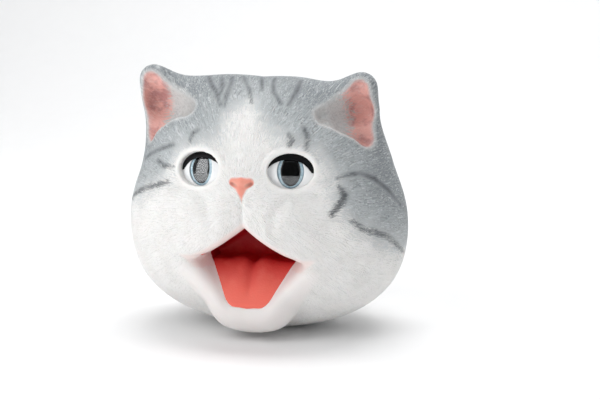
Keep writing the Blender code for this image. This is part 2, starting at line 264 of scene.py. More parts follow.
def lid_fold(e):
    """Depth of the shallow crease over the upper lid."""
    path = oval(e[..., 0], e[..., 1] - 0.6, EYE_WIDE + 3.6, EYE_TALL + 3.6)
    reach = ramp(1.0, 6.0, e[..., 1]) * ramp(12.0, 8.0, np.abs(e[..., 2]))
    crease = 0.55 * np.exp(-(path / 0.9) ** 2)
    swell = 0.35 * np.exp(-((path + 2.0) / 1.2) ** 2)
    return (crease - swell) * reach


# ---------------------------------------------------------------- skin

def nose_form(q):
    """Small three-cornered nose, as seen on the mirrored half."""
    top = capsule(q, (0, -53.6, 90.3), (4.5, -52.5, 90.0), 2.0, 1.5)
    side = capsule(q, (4.5, -52.5, 90.0), (0, -53.6, 85.4), 1.5, 1.6)
    tail = capsule(q, (0, -53.4, 85.4), (0, -52.4, 79.0), 1.5, 0.6)
    return join(join(top, side, 2.5), tail, 1.5)


def nostril(q):
    return capsule(q, (2.6, -55.6, 88.0), (5.3, -54.0, 89.2), 0.2, 0.35)


def muzzle_relief(p, q):
    """Depth of the groove under the nose, of the puffs beside it and of the cheek creases."""
    groove = 0.9 * np.exp(-(p[..., 0] / 1.1) ** 2)
    groove = groove * ramp(60.0, 70.0, p[..., 2]) * ramp(86.5, 83.5, p[..., 2])
    puffs = 1.3 * np.exp(-((q[..., 0] - 13.5) / 7.5) ** 2 - ((p[..., 2] - 70.0) / 7.5) ** 2)
    ring = np.hypot(q[..., 0] - 34.0, (p[..., 2] - 66.0) * 0.9) - 17.0
    cheek = 1.2 * np.exp(-ring ** 2 / 9.0)
    cheek = cheek * ramp(48.0, 36.0, q[..., 0]) * ramp(54.0, 66.0, p[..., 2])
    return (groove - puffs + cheek) * ramp(-38.0, -44.0, p[..., 1])


def skin_outside(p):
    lean = crown_lean(p)
    q = mirrored(p)
    d = join(skull(lean), ear(mirrored(lean)), 10)
    d = join(d, jaw_form(p), 1.8)
    d = carve(d, ear_dish(lean), 2.4)
    e = eye_local(q, 1)
    near = np.abs(e[..., 2]) < 12.0
    d = np.where(near, join(d, socket_rim(e), 3.0), d)
    d = d + lid_fold(e)
    d = d + muzzle_relief(p, q)
    d = join(d, nose_form(q), 1.2)
    d = d + 0.8 * np.exp(-(np.maximum(nostril(q), 0.0) / 0.8) ** 2)
    d = carve(d, capsule(q, (24, -48.0, 46.0), (41.5, -44.9, 44.6), 1.7, 0.9), 1.6)
    socket = np.maximum(oval(e[..., 0], e[..., 1], EYE_WIDE - 0.25, EYE_TALL - 0.25),
                        -2.5 - e[..., 2])
    return np.maximum(d, -socket)


def hand_room(p):
    """The hollow that the hand fills, with the finger and thumb rooms."""
    lean = crown_lean(p)
    d = both(skull(lean) + WALL, -ear_dish(lean) + WALL, 2.0)
    mouth = both(mouth_room(p, 0.0), mouth_side(p), 2.0)
    d = both(d, 3.4 + 1.8 * ramp(-30.0, -38.0, p[..., 1]) - mouth, 2.0)
    d = both(d, 0.5 - jaw_form(p), 2.0)
    for side in (1, -1):
        e = eye_local(p, side)
        boss = np.maximum(np.hypot(e[..., 0], e[..., 1]) - 16.0, np.abs(e[..., 2] + 2.0) - 3.4)
        d = np.maximum(d, -boss)
    return join(d, thumb_form(p), 2.0)


def skin_form(p):
    d = carve(skin_outside(p), hand_room(p), 0.8)
    d = carve(d, mouth_cut(p), 1.0 + 4.0 * ramp(-33.0, -39.0, p[..., 1]))
    d = both(d, p[..., 1] - NECK_PLANE, 1.6)
    return both(d, -p[..., 2], 1.0)


# ---------------------------------------------------------------- meshes

SETTLING_PASSES = 3     # that bring a mesh's points onto the surface
LONGEST_MOVE = 0.35     # of a point in one pass


def stations(low, high, coarse, fine, spans):
    """Grid lines that close up to the fine step inside the spans."""
    out = [low]
    while out[-1] < high:
        near = any(a <= out[-1] < b for a, b in spans)
        out.append(out[-1] + (fine if near else coarse))
    return np.array(out, np.float32)


def slope(field, p, step=0.25):
    g = np.empty_like(p)
    for axis in range(3):
        d = np.zeros(3, np.float32)
        d[axis] = step
        g[:, axis] = field(p + d) - field(p - d)
    return g / (2.0 * step)


def net(field, lines):
    """Closed mesh of quads over a form's surface, one point for each cell it crosses."""
    grid = [np.stack(np.meshgrid([x], lines[1], lines[2], indexing="ij"), -1) for x in lines[0]]
    values = np.concatenate([field(g) for g in grid]).astype(np.float32)
    inside = values < 0.0
    n = [len(line) - 1 for line in lines]
    corners = sum(inside[i:n[0] + i, j:n[1] + j, k:n[2] + k].astype(np.int8)
                  for i in (0, 1) for j in (0, 1) for k in (0, 1))
    cells = np.argwhere((corners > 0) & (corners < 8))
    index = np.full(n, -1, np.int64)
    index[tuple(cells.T)] = np.arange(len(cells))
    total = np.zeros((len(cells), 3))
    count = np.zeros(len(cells))
    for axis in range(3):
        others = [a for a in range(3) if a != axis]
        for i in (0, 1):
            for j in (0, 1):
                start = cells.copy()
                start[:, others[0]] += i
                start[:, others[1]] += j
                end = start.copy()
                end[:, axis] += 1
                va, vb = values[tuple(start.T)], values[tuple(end.T)]
                hit = (va < 0) != (vb < 0)
                t = np.where(hit, va / np.where(hit, va - vb, 1.0), 0.0)
                a = np.stack([lines[k][start[:, k]] for k in range(3)], 1)
                b = np.stack([lines[k][end[:, k]] for k in range(3)], 1)
                total[hit] += (a + (b - a) * t[:, None])[hit]
                count += hit
    points = (total / count[:, None]).astype(np.float32)
    quads = []
    for axis in range(3):
        a, b = [k for k in range(3) if k != axis]
        low = [slice(1, n[k]) for k in range(3)]
        low[axis] = slice(0, n[axis])
        high = list(low)
        high[axis] = slice(1, n[axis] + 1)
        first, second = inside[tuple(low)], inside[tuple(high)]
        edges = np.argwhere(first != second)
        enters = second[tuple(edges.T)]
        edges += [0 if k == axis else 1 for k in range(3)]
        ring = []
        for da, db in ((-1, -1), (0, -1), (0, 0), (-1, 0)):
            cell = edges.copy()
            cell[:, a] += da
            cell[:, b] += db
            ring.append(index[tuple(cell.T)])
        ring = np.stack(ring, 1)
        flip = enters if axis != 1 else ~enters
        ring[flip] = ring[flip][:, ::-1]
        quads.append(ring)
    for _ in range(SETTLING_PASSES):
        g = slope(field, points)
        d = field(points)
        move = g * (d / np.maximum((g * g).sum(1), 0.2))[:, None]
        points -= np.clip(move, -LONGEST_MOVE, LONGEST_MOVE) * 0.8
    return points, np.concatenate(quads).tolist()


def to_world(points):
    return (np.asarray(points) - (0.0, BOX_MIDDLE_Y, 0.0)) * MM


def mesh_object(name, points, faces, values=None):
    """Object from form points; values become float attributes of its points."""
    mesh = bpy.data.meshes.new(name)
    mesh.from_pydata(to_world(points).tolist(), [], faces)
    mesh.validate()
    rest = mesh.attributes.new("rest", "FLOAT_VECTOR", "POINT")
    rest.data.foreach_set("vector", np.asarray(points, np.float32).ravel())
    for key, value in (values or {}).items():
        attribute = mesh.attributes.new(key, "FLOAT", "POINT")
        attribute.data.foreach_set("value", np.asarray(value, np.float32))
    mesh.shade_smooth()
    obj = bpy.data.objects.new(name, mesh)
    bpy.context.scene.collection.objects.link(obj)
    return obj


# ---------------------------------------------------------------- the coat's paint

GREY_EDGE_LEFT = [(0, 51), (3, 46), (7, 40), (13, 32), (22, 26), (34, 21), (41, 14),
                  (42, 3), (46, -9), (56, -17), (62, -22), (73, -30), (92, -40), (180, -80)]
GREY_EDGE_RIGHT = [(0, 51), (6, 48), (9, 40), (12, 32), (20, 26), (30, 23), (36, 16),
                   (42, 7), (51, 0), (66, -6), (78, -20), (94, -36), (180, -80)]
# Brush strokes of the darker grey: places in degrees round the head, and half widths in mm
STRIPES = [
    ([(-33, 68), (-27, 61), (-21, 55), (-16, 47)], 1.0),
    ([(-20, 73), (-16, 64), (-15, 57), (-14, 47)], 1.1),
    ([(-14, 76), (-9, 68), (-4, 61), (0, 51)], 0.9), ([(8, 76), (9, 66), (11, 58), (16, 49)], 1.1),
    ([(25, 70), (24, 63), (23, 57), (20, 48)], 1.1), ([(-25, 69), (-20, 61), (-18, 54)], 0.8),
    ([(-3, 80), (1, 70), (4, 60)], 0.9),
    ([(-28, 27), (-27, 31), (-24, 33)], 0.6), ([(21.5, 32), (23, 29), (22, 26)], 1.5),
    ([(28, 35), (30, 30), (29.5, 24)], 1.1), ([(-64, 17), (-56, 20), (-49, 22), (-37, 25)], 0.9),
    ([(-48, 17), (-43, 14.5), (-36, 15)], 1.2), ([(-74, -8), (-63, -1), (-53, 3), (-40, 7)], 1.5),
    ([(44, 11), (50, 12.8), (55, 13), (62, 10), (69, 4), (76, -5)], 1.1),
    ([(45, 7), (47, 3), (46, 0), (41, -6)], 1.7),
    ([(49, -9), (53, -13), (58, -14.5), (63, -17), (67, -21), (76, -31)], 1.3),
    ([(96, 10), (108, 4), (122, -6)], 1.6), ([(-96, 8), (-108, 2), (-122, -8)], 1.6),
    ([(88, 34), (104, 32), (124, 26)], 1.6), ([(-88, 34), (-104, 32), (-124, 26)], 1.6),
    ([(8, 92), (9, 110), (7, 132)], 1.6), ([(-8, 92), (-9, 110), (-7, 132)], 1.6),
    ([(26, 90), (30, 106), (32, 124)], 1.4), ([(-26, 90), (-30, 106), (-32, 124)], 1.4),
]


def head_degrees(p):
    """Place round the head: degrees to the cat's left and degrees up from straight ahead."""
    v = p - np.array(HEAD_MIDDLE)
    v = v / np.maximum(np.linalg.norm(v, axis=1), 1e-6)[:, None]
    turn = np.degrees(np.arccos(np.clip(-v[:, 1], -1.0, 1.0)))
    flat = np.maximum(np.hypot(v[:, 0], v[:, 2]), 1e-6)
    return np.stack([turn * v[:, 0] / flat, turn * v[:, 2] / flat], 1)


def to_path(places, path):
    """Distance in mm from places to a path, and how far along it each one is."""
    best = np.full(len(places), 1e9)
    where = np.zeros(len(places))
    corners = np.array(path, float)
    for i, (a, b) in enumerate(zip(corners, corners[1:])):
        along = b - a
        t = np.clip((places - a) @ along / max(along @ along, 1e-9), 0.0, 1.0)
        d = np.linalg.norm(places - a - t[:, None] * along, axis=1)
        closer = d < best
        best = np.where(closer, d, best)
        where = np.where(closer, (i + t) / (len(corners) - 1), where)
    return best * MM_PER_DEGREE, where


def paint(p):
    """Where each paint of the skin goes, as smooth distances the material can sharpen."""
    places = head_degrees(p)
    half = places.copy()
    half[:, 0] = np.abs(half[:, 0])
    grey = np.zeros(len(p))
    for edge, mine in ((GREY_EDGE_LEFT, places[:, 0] >= 0), (GREY_EDGE_RIGHT, places[:, 0] < 0)):
        d, _ = to_path(half, edge)
        order = np.array(edge)
        limit = np.interp(half[:, 0], order[:, 0], order[:, 1])
        grey = np.where(mine, np.where(half[:, 1] > limit, d, -d), grey)
    stripe = np.full(len(p), 20.0)
    for path, width in STRIPES:
        d, t = to_path(places, path)
        taper = 0.45 + 0.55 * np.sin(np.pi * np.clip(t, 0.04, 0.96)) ** 0.5
        stripe = np.minimum(stripe, d - width * taper)
    lean = crown_lean(p)
    dish = ear_dish(lean)
    lean = mirrored(lean)
    across = lean[:, 0] - (53.0 - 0.10 * (lean[:, 2] - 112.0))
    q = mirrored(p)
    e = eye_local(q, 1)
    lids = oval(e[:, 0], e[:, 1], EYE_WIDE, EYE_TALL)
    mouth = both(mouth_room(p, 0.7), mouth_side(p), 2.0)
    lip = np.where(p[:, 2] > 40.0, np.abs(mouth), 20.0)
    # the mouth's walls are red behind a line that joins the tongue's edge to the lips
    edge_line = LIP_Y + (np.minimum(p[:, 2], 60.0) - LIP_Z) / FLOOR_SLOPE + 0.4
    wall = np.maximum(mouth - 0.6, edge_line - p[:, 1])
    wall = np.maximum(wall, -38.5 - p[:, 1])
    return {
        "grey": grey, "stripe": stripe, "dish": dish, "ear_side": across,
        "nose": nose_form(q), "lids": np.where(np.abs(e[:, 2]) < 9.0, lids, 20.0),
        "band": jaw_form(p) - skull(p) * 0.35, "depth": skin_outside(p),
        "mouth": mouth, "lip": lip, "throat": wall, "nostril": nostril(q),
    }


# ---------------------------------------------------------------- materials

SHADER_INPUTS = {
    "colour": "Base Color", "rough": "Roughness", "normal": "Normal", "metal": "Metallic",
    "ior": "IOR", "gloss": "Specular IOR Level", "through": "Transmission Weight",
    "coat": "Coat Weight", "coat_rough": "Coat Roughness", "under": "Subsurface Weight",
    "under_scale": "Subsurface Scale", "under_radius": "Subsurface Radius",
}


class Graph:
    """Short names for making a material's nodes."""

    def __init__(self, name):
        self.material = bpy.data.materials.new(name)
        self.material.use_nodes = True
        self.nodes = self.material.node_tree.nodes
        self.links = self.material.node_tree.links
        self.shader = self.nodes["Principled BSDF"]

    def put(self, socket, value):
        if isinstance(value, bpy.types.NodeSocket):
            self.links.new(value, socket)
        elif value is not None:
            socket.default_value = value

    def node(self, kind, inputs, output=0, **settings):
        n = self.nodes.new(kind)
        for key, value in settings.items():
            setattr(n, key, value)
        for key, value in inputs.items():
            self.put(n.inputs[key], value)
        return n.outputs[output]

    def math(self, operation, a, b=None):
        return self.node("ShaderNodeMath", {0: a, 1: b}, operation=operation)

    def add(self, a, b):
        return self.math("ADD", a, b)

    def sub(self, a, b):
        return self.math("SUBTRACT", a, b)

    def mul(self, a, b):
        return self.math("MULTIPLY", a, b)

    def fit(self, value, low, high, start=0.0, end=1.0):
        return self.node("ShaderNodeMapRange", {0: value, 1: low, 2: high, 3: start, 4: end},
                         interpolation_type="SMOOTHSTEP")

    def noise(self, vector, scale, detail=2.0, rough=0.5, distort=0.0):
        return self.node("ShaderNodeTexNoise", {"Vector": vector, "Scale": scale, "Detail": detail,
                                                "Roughness": rough, "Distortion": distort})

    def attribute(self, name, output="Fac"):
        return self.node("ShaderNodeAttribute", {}, output, attribute_name=name)

    def rest(self):
        return self.attribute("rest", "Vector")

    def split(self, vector):
        n = self.nodes.new("ShaderNodeSeparateXYZ")
        self.put(n.inputs[0], vector)
        return n.outputs

    def merge(self, x, y, z):
        return self.node("ShaderNodeCombineXYZ", {0: x, 1: y, 2: z})

    def mix(self, factor, a, b):
        n = self.nodes.new("ShaderNodeMix")
        n.data_type = "RGBA"
        n.clamp_factor = True
        self.put(n.inputs[0], factor)
        self.put(n.inputs[6], (*a, 1.0) if isinstance(a, tuple) else a)
        self.put(n.inputs[7], (*b, 1.0) if isinstance(b, tuple) else b)
        return n.outputs[2]

    def bump(self, height, distance, strength):
        return self.node("ShaderNodeBump", {"Height": height, "Distance": distance,
                                            "Strength": strength})

    def set(self, **values):
        for key, value in values.items():
            if isinstance(value, tuple) and key == "colour":
                value = (*value, 1.0)
            self.put(self.shader.inputs[SHADER_INPUTS[key]], value)
        return self.material


def fur(g, length, width):
    """Height of moulded fur: short strokes that run back from the nose all over the head.

    Two rows of strokes take turns, so that no row's end shows."""
    v = g.node("ShaderNodeVectorMath", {0: g.rest(), 1: HEAD_MIDDLE}, operation="SUBTRACT")
    x, y, z = g.split(v)
    around = g.math("SQRT", g.add(g.mul(x, x), g.mul(z, z)))
    reach = g.math("ARCTAN2", around, g.mul(y, -1.0))
    ring, size_step = 64.0, 6.0
    arc = g.mul(reach, ring)
    safe = g.math("MAXIMUM", around, 0.5)
    ux, uz = g.math("DIVIDE", x, safe), g.math("DIVIDE", z, safe)
    wander = g.noise(g.rest(), 0.33, 1.0)
    row = g.add(g.math("DIVIDE", arc, length), g.mul(wander, 5.0))
    # the strokes lean a little from place to place
    sway = g.mul(g.sub(g.noise(g.rest(), 0.055, 1.0), 0.5), 9.0)
    total = None
    for shift in (0.0, 0.5):
        q = g.add(row, shift)
        k = g.math("FLOOR", q)
        f = g.sub(q, k)
        # the ring's size goes up in steps, so that strokes keep their width along their length
        near_arc = g.math("ROUND", g.math("DIVIDE", arc, size_step))
        size = g.mul(g.math("SINE", g.mul(near_arc, size_step / ring)), ring / width)
        size = g.math("MAXIMUM", size, 3.0)
        place = g.merge(g.add(g.mul(ux, size), sway), g.add(g.mul(uz, size), sway),
                        g.add(g.mul(k, 7.31), shift * 40.0))
        n = g.noise(place, 1.0, 1.0, 0.6)
        hump = g.math("POWER", g.math("SINE", g.mul(f, math.pi)), 2.0)
        part = g.mul(g.sub(n, 0.5), hump)
        total = part if total is None else g.add(total, part)
    return total


def skin_material():
    g = Graph("coat_paint")
    strokes = fur(g, 3.4, 0.55)
    soft = g.noise(g.rest(), 0.09, 2.0)
    fine = g.noise(g.rest(), 1.6, 2.0, 0.6)

    depth = g.attribute("depth")
    inside = g.mul(g.fit(depth, -1.6, -2.4), g.fit(g.attribute("mouth"), 1.2, 1.6))
    band = g.fit(g.attribute("band"), 1.2, -0.6)
    smooth_eye = g.fit(g.attribute("lids"), 3.2, 0.6)
    nose = g.fit(g.attribute("nose"), 0.9, 0.0)
    mouth = g.fit(g.attribute("mouth"), 2.4, 0.4)
    bare = g.math("MAXIMUM", g.math("MAXIMUM", band, smooth_eye), g.math("MAXIMUM", nose, mouth))
    bare = g.math("MAXIMUM", bare, inside)
    furry = g.sub(1.0, bare)
    strokes = g.mul(strokes, furry)

    dish = g.fit(g.attribute("dish"), 1.2, -0.8)
    edge = g.add(g.attribute("grey"), g.add(g.mul(strokes, 30.0), g.mul(g.sub(soft, 0.5), 12.0)))
    grey = g.fit(edge, -7.0, 9.0)
    deep = g.fit(edge, 4.0, 34.0)
    grey_paint = g.mix(deep, (0.50, 0.53, 0.54), (0.31, 0.335, 0.35))
    white_paint = g.mix(g.fit(soft, 0.35, 0.75), (0.90, 0.89, 0.875), (0.85, 0.84, 0.82))
    colour = g.mix(grey, white_paint, grey_paint)
    # painted shade darkens the strokes' grooves and a painted highlight lightens their ridges,
    # mostly in the grey
    groove_shade = g.fit(strokes, 0.04, -0.24)
    colour = g.mix(g.mul(groove_shade, g.add(0.08, g.mul(grey, 0.50))), colour, (0.12, 0.13, 0.14))
    colour = g.mix(g.mul(g.fit(strokes, 0.0, 0.22), g.mul(grey, 0.62)), colour, (0.78, 0.80, 0.81))
    stripe = g.fit(g.add(g.attribute("stripe"), g.mul(strokes, -5.5)), 1.6, -1.4)
    stripe = g.mul(stripe, g.mul(g.sub(1.0, dish), furry))
    colour = g.mix(g.mul(stripe, g.fit(soft, 0.3, 0.7, 0.55, 0.9)), colour, (0.07, 0.076, 0.085))

    # the ear's dish: pale fur on the inner side, pink skin on the outer side, with painted shade in
    # its inner corner and along its rim and a painted highlight on the ridge round it
    ex, ey, ez = g.split(g.rest())
    hairs = g.noise(g.merge(g.mul(ex, 0.10), g.mul(ey, 0.75), g.mul(ez, 0.95)), 1.0, 2.0, 0.65, 0.4)
    side = g.add(g.attribute("ear_side"), g.mul(g.sub(hairs, 0.5), 22.0))
    pink = g.fit(side, -2.5, 3.5)
    core = g.fit(g.noise(g.rest(), 0.16, 2.0), 0.42, 0.66)
    flush = g.mix(core, (0.86, 0.31, 0.24), (0.48, 0.08, 0.06))
    flush = g.mix(g.mul(g.fit(hairs, 0.5, 0.72), 0.3), flush, (0.86, 0.60, 0.54))
    ear_fur = g.mix(g.fit(hairs, 0.32, 0.56), (0.66, 0.65, 0.63), (0.98, 0.97, 0.95))
    # painted shade in the dish's inner corner
    corner = g.fit(g.add(g.attribute("ear_side"), g.mul(g.sub(hairs, 0.5), 8.0)), -9.0, -17.0)
    ear_fur = g.mix(g.mul(corner, 0.25), ear_fur, (0.38, 0.385, 0.38))
    rim_shade = g.fit(g.attribute("dish"), -1.5, 0.0)
    ear_fur = g.mix(g.mul(rim_shade, 0.5), ear_fur, (0.30, 0.30, 0.295))
    in_dish = g.mix(pink, ear_fur, flush)
    # painted highlight on the ridge just outside the dish's edge
    ridge_highlight = g.mul(g.fit(g.attribute("dish"), 3.4, 1.0), 0.45)
    colour = g.mix(ridge_highlight, colour, (0.84, 0.83, 0.815))
    colour = g.mix(dish, colour, in_dish)

    near_lip = g.fit(g.attribute("lip"), 9.0, 0.0)
    smooth_white = g.mix(near_lip, (0.90, 0.86, 0.84), (0.90, 0.80, 0.77))
    colour = g.mix(g.math("MAXIMUM", band, mouth), colour, smooth_white)
    # dark red on the walls deep in the mouth: partly the red paint, partly painted shade
    throat = g.fit(g.attribute("throat"), 0.3, -0.3)
    colour = g.mix(throat, colour, g.mix(soft, (0.42, 0.005, 0.009), (0.30, 0.003, 0.006)))
    colour = g.mix(smooth_eye, colour, (0.88, 0.87, 0.85))
    pale = g.fit(g.noise(g.rest(), 0.30, 1.0), 0.35, 0.7)
    nose_pink = g.mix(pale, (0.90, 0.47, 0.37), (0.94, 0.64, 0.52))
    nose_pink = g.mix(g.fit(g.attribute("nose"), -1.0, 0.4), nose_pink, (0.80, 0.27, 0.20))
    # painted shade darkens the nostril dents
    nostril_shade = g.mul(g.fit(g.attribute("nostril"), 1.3, 0.0), 0.8)
    nose_pink = g.mix(nostril_shade, nose_pink, (0.30, 0.06, 0.045))
    colour = g.mix(nose, colour, nose_pink)
    colour = g.mix(inside, colour, (0.72, 0.70, 0.66))

    strokes = g.mix(dish, strokes, g.mul(g.sub(hairs, 0.5), 0.9))
    height = g.add(strokes, g.mul(g.sub(fine, 0.5), 0.10))
    g.set(colour=colour, rough=g.fit(bare, 0.0, 1.0, 0.62, 0.42),
          normal=g.bump(height, 0.0011, 0.85), under=0.12, under_scale=0.002,
          under_radius=(1.0, 0.6, 0.45), gloss=0.3)
    return g.material


def mouth_material():
    g = Graph("mouth_paint")
    p = g.rest()
    x, y, z = g.split(p)
    # the red darkens towards the back: partly its own darker tone, partly painted shade
    depth = g.fit(y, -44.5, -27.0)
    blot = g.noise(p, 0.12, 3.0)
    red = g.mix(depth, (0.98, 0.19, 0.14), (0.58, 0.022, 0.026))
    red = g.mix(g.mul(g.fit(blot, 0.45, 0.75), 0.22), red, (0.94, 0.24, 0.17))
    # and darker still up the throat and palate: partly darker paint, partly painted shade
    red = g.mix(g.fit(g.add(z, g.mul(blot, 4.0)), 43.0, 58.0), red, (0.42, 0.006, 0.012))
    bumps = g.noise(p, 1.1, 2.0)
    g.set(colour=red, rough=0.48, normal=g.bump(bumps, 0.00025, 0.5), under=0.10, under_scale=0.002,
          under_radius=(1.0, 0.25, 0.18), gloss=0.2)
    return g.material


def iris_material():
    g = Graph("iris_paint")
    u, v, w = g.split(g.attribute("eye_place", "Vector"))
    turn = g.math("ARCTAN2", v, u)
    radius = g.math("SQRT", g.add(g.mul(u, u), g.mul(v, v)))
    spokes = g.noise(g.merge(g.mul(g.math("COSINE", turn), 7.0), g.mul(g.math("SINE", turn), 7.0),
                             g.mul(radius, 0.5)), 1.6, 3.0, 0.7)
    colour = g.mix(g.fit(spokes, 0.3, 0.7), (0.40, 0.60, 0.71), (0.70, 0.85, 0.92))
    colour = g.mix(g.fit(radius, 0.93, 1.0), colour, (0.16, 0.33, 0.45))
    g.set(colour=colour, rough=0.25, normal=g.bump(spokes, 0.0002, 0.6), coat=0.6, coat_rough=0.05)
    return g.material


def eye_white_material():
    g = Graph("eye_white_paint")
    cloud = g.noise(g.rest(), 0.25, 3.0)
    colour = g.mix(g.fit(cloud, 0.3, 0.75), (0.95, 0.96, 0.97), (0.92, 0.93, 0.94))
    g.set(colour=colour, rough=0.22, coat=0.4, coat_rough=0.04)
    return g.material


def pupil_material():
    """Dark mirror: black where it sees the flag, grey where it sees the softbox."""
    g = Graph("pupil_gloss")
    speck = g.noise(g.rest(), 1.5, 2.0)
    g.set(colour=g.mix(speck, (0.115, 0.118, 0.120), (0.125, 0.128, 0.130)), rough=0.05, metal=1.0)
    return g.material


def liner_material():
    g = Graph("liner_paint")
    speck = g.noise(g.rest(), 1.5, 2.0)
    g.set(colour=g.mix(speck, (0.002, 0.002, 0.003), (0.006, 0.006, 0.007)), rough=0.45, gloss=0.15)
    return g.material


def cornea_material():
    g = Graph("cornea_clear")
    g.set(colour=(1.0, 1.0, 1.0), rough=0.01, through=1.0, ior=1.1)
    return g.material


def washer_material():
    g = Graph("washer_plastic")
    grain = g.noise(g.node("ShaderNodeTexCoord", {}, "Object"), 900.0, 3.0)
    g.set(colour=g.mix(grain, (0.66, 0.65, 0.62), (0.78, 0.77, 0.74)),
          rough=g.fit(grain, 0.2, 0.8, 0.35, 0.5), normal=g.bump(grain, 0.0002, 0.4))
    return g.material


# ---------------------------------------------------------------- eye pieces

ROUND_STEPS = 96
LINER_PLACES = [0, 0.06, 0.2, 0.4, 0.6, 0.8, 0.93, 1.0]
LINER_WIDTHS = [0.3, 1.2, 2.6, 3.5, 3.8, 3.5, 2.7, 1.4]
LINER_FROM, LINER_TO = 170.0, -6.0      # degrees round the eye, from the nose's side outwards
LINER_OVERHANG = 0.9                    # over the skin's edge


def eye_to_form(side, uvw):
    axes = np.array([a[:] for a in eye_axes(side)])
    return np.asarray(uvw) @ axes + (side * EYE_X, EYE_Y, EYE_Z)


def dome(u, v):
    return EYE_DOME * (1.0 - (u / EYE_WIDE) ** 2 - (v / EYE_TALL) ** 2)


def face_out(obj):
    """Turns every face of a closed piece outwards."""
    bm = bmesh.new()
    bm.from_mesh(obj.data)
    bmesh.ops.recalc_face_normals(bm, faces=bm.faces)
    bm.to_mesh(obj.data)
    bm.free()


def turned(name, side, profile):
    """Closed piece from oval rings, given as half width, half height, offset from the
    dome's foot and whether the ring follows the dome. The ends close on the axis."""
    count = ROUND_STEPS
    points, faces, rows = [], [], []
    for wide, tall, offset, follow in profile:
        row = []
        for i in range(1 if wide == 0.0 else count):
            a = 2.0 * math.pi * i / count
            u, v = wide * math.cos(a), tall * math.sin(a)
            row.append(len(points))
            points.append((u, v, offset + follow * dome(u, v)))
        rows.append(row)
    for a, b in zip(rows, rows[1:]):
        for i in range(count):
            j = (i + 1) % count
            face = [a[i % len(a)], a[j % len(a)], b[j % len(b)], b[i % len(b)]]
            face = [k for n, k in enumerate(face) if k not in face[:n]]
            faces.append(face)
    obj = mesh_object(name, eye_to_form(side, points), faces)
    face_out(obj)
    place = obj.data.attributes.new("eye_place", "FLOAT_VECTOR", "POINT")
    local = np.array(points)
    local[:, 0] /= IRIS_WIDE
    local[:, 1] /= IRIS_TALL
    place.data.foreach_set("vector", local.astype(np.float32).ravel())
    return obj


def rings(inner, outer, steps, offset):
    """Evenly spaced rings from one oval to another on a layer of the dome."""
    out = []
    for i in range(steps + 1):
        t = i / steps
        out.append((inner[0] + (outer[0] - inner[0]) * t, inner[1] + (outer[1] - inner[1]) * t,
                    offset, 1))
    return out


def liner(name, side):
    """Black crescent lash line, thin at the nose's side and blunt at the outer end."""
    steps, across = 64, 10
    where = np.linspace(0.0, 1.0, steps + 1)
    thick = np.interp(where, LINER_PLACES, LINER_WIDTHS)
    points = []
    for t, width in zip(where, thick):
        a = math.radians(LINER_FROM + (LINER_TO - LINER_FROM) * t)
        edge = np.array((EYE_WIDE * math.cos(a), EYE_TALL * math.sin(a)))
        inward = -np.array((math.cos(a) / EYE_WIDE, math.sin(a) / EYE_TALL))
        inward /= np.linalg.norm(inward)
        for k in range(across):
            turn = 2.0 * math.pi * k / across
            s = 0.5 - 0.5 * math.cos(turn)
            u, v = edge - inward * LINER_OVERHANG + inward * (width + LINER_OVERHANG) * s
            lift = 0.22 + 0.40 * math.sin(turn) * (0.9 if turn > math.pi else 1.0)
            points.append((side * u, v, lift + dome(u, v)))
    faces = []
    for i in range(steps):
        for k in range(across):
            m = (k + 1) % across
            here, ahead = i * across, (i + 1) * across
            faces.append([here + k, here + m, ahead + m, ahead + k])
    faces.append(list(range(across)))
    faces.append(list(range(steps * across, (steps + 1) * across)))
    obj = mesh_object(name, eye_to_form(side, points), faces)
    face_out(obj)
    return obj


def dress(obj, material, body, stands_for):
    """Paint of a piece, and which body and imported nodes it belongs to."""
    obj.data.materials.append(material)
    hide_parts(*stands_for)
    if body:
        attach(obj, body)


# ---------------------------------------------------------------- assembly

lines = (stations(-83.0, 83.0, 1.55, 1.0, [(-14.0, 14.0)]),
         stations(-60.0, 64.5, 1.7, 1.0, [(-57.0, -41.0)]),
         stations(-1.5, 154.0, 1.6, 0.9, [(19.0, 24.0), (83.0, 93.0)]))
points, quads = net(skin_form, lines)
skin = mesh_object("cat_skin", points, quads, paint(points.astype(float)))
dress(skin, skin_material(), None, ("head_skin", "jaw_skin"))
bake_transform(skin)

lines = (stations(-32.0, 32.0, 0.8, 0.8, []), stations(-50.0, -9.0, 0.8, 0.8, []),
         stations(16.0, 69.0, 0.8, 0.8, []))
points, quads = net(lining_form, lines)
lining = mesh_object("mouth_lining", points, quads)
dress(lining, mouth_material(), None, ("palate_lining", "tongue"))
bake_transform(lining)

